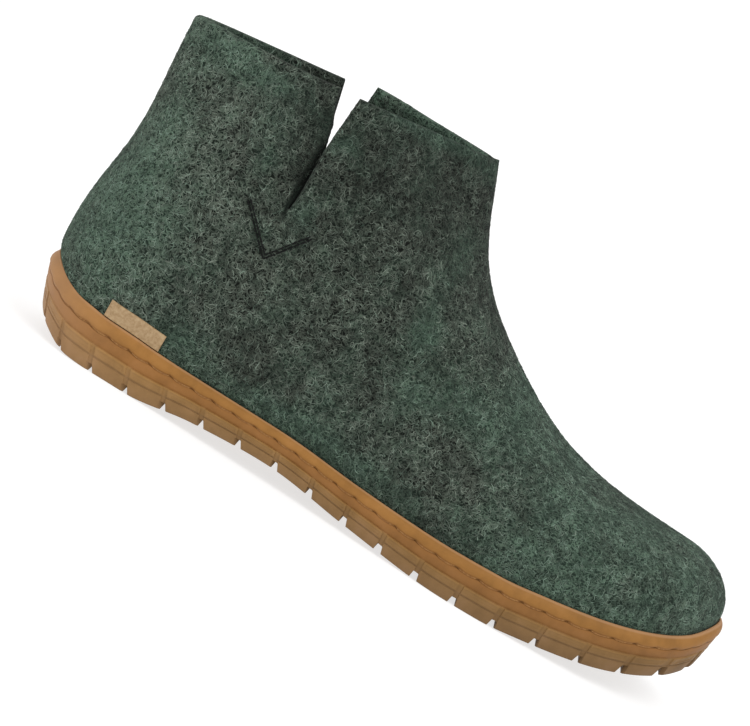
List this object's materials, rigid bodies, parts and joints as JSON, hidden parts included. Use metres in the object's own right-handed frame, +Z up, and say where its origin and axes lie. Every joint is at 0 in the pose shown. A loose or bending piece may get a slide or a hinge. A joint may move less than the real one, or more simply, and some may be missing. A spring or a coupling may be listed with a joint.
{
  "type": "felt boot",
  "caption": "Right ankle-high boot: one thick wool felt shell, slit at both sides of the collar, in a rubber cup sole with lugs round its edge, worn for warmth.",
  "frame": {"origin": "on the floor, under the middle of the boot's box", "axes": "+X points to the toe, +Y to the inner side of the right foot, +Z up"},
  "size_m": [0.2892, 0.1045, 0.1437],
  "materials": {
    "felt": "matt wool felt, dark green mottled with grey",
    "rubber": "satin honey-coloured natural rubber",
    "lining_felt": "matt grey-green felt",
    "leather": "undyed vegetable-tanned leather, bare"
  },
  "bodies": {
    "root": {"outsole": "rubber", "upper": "felt", "insole": "lining_felt", "label_tab": "leather"}
  },
  "joints": []
}
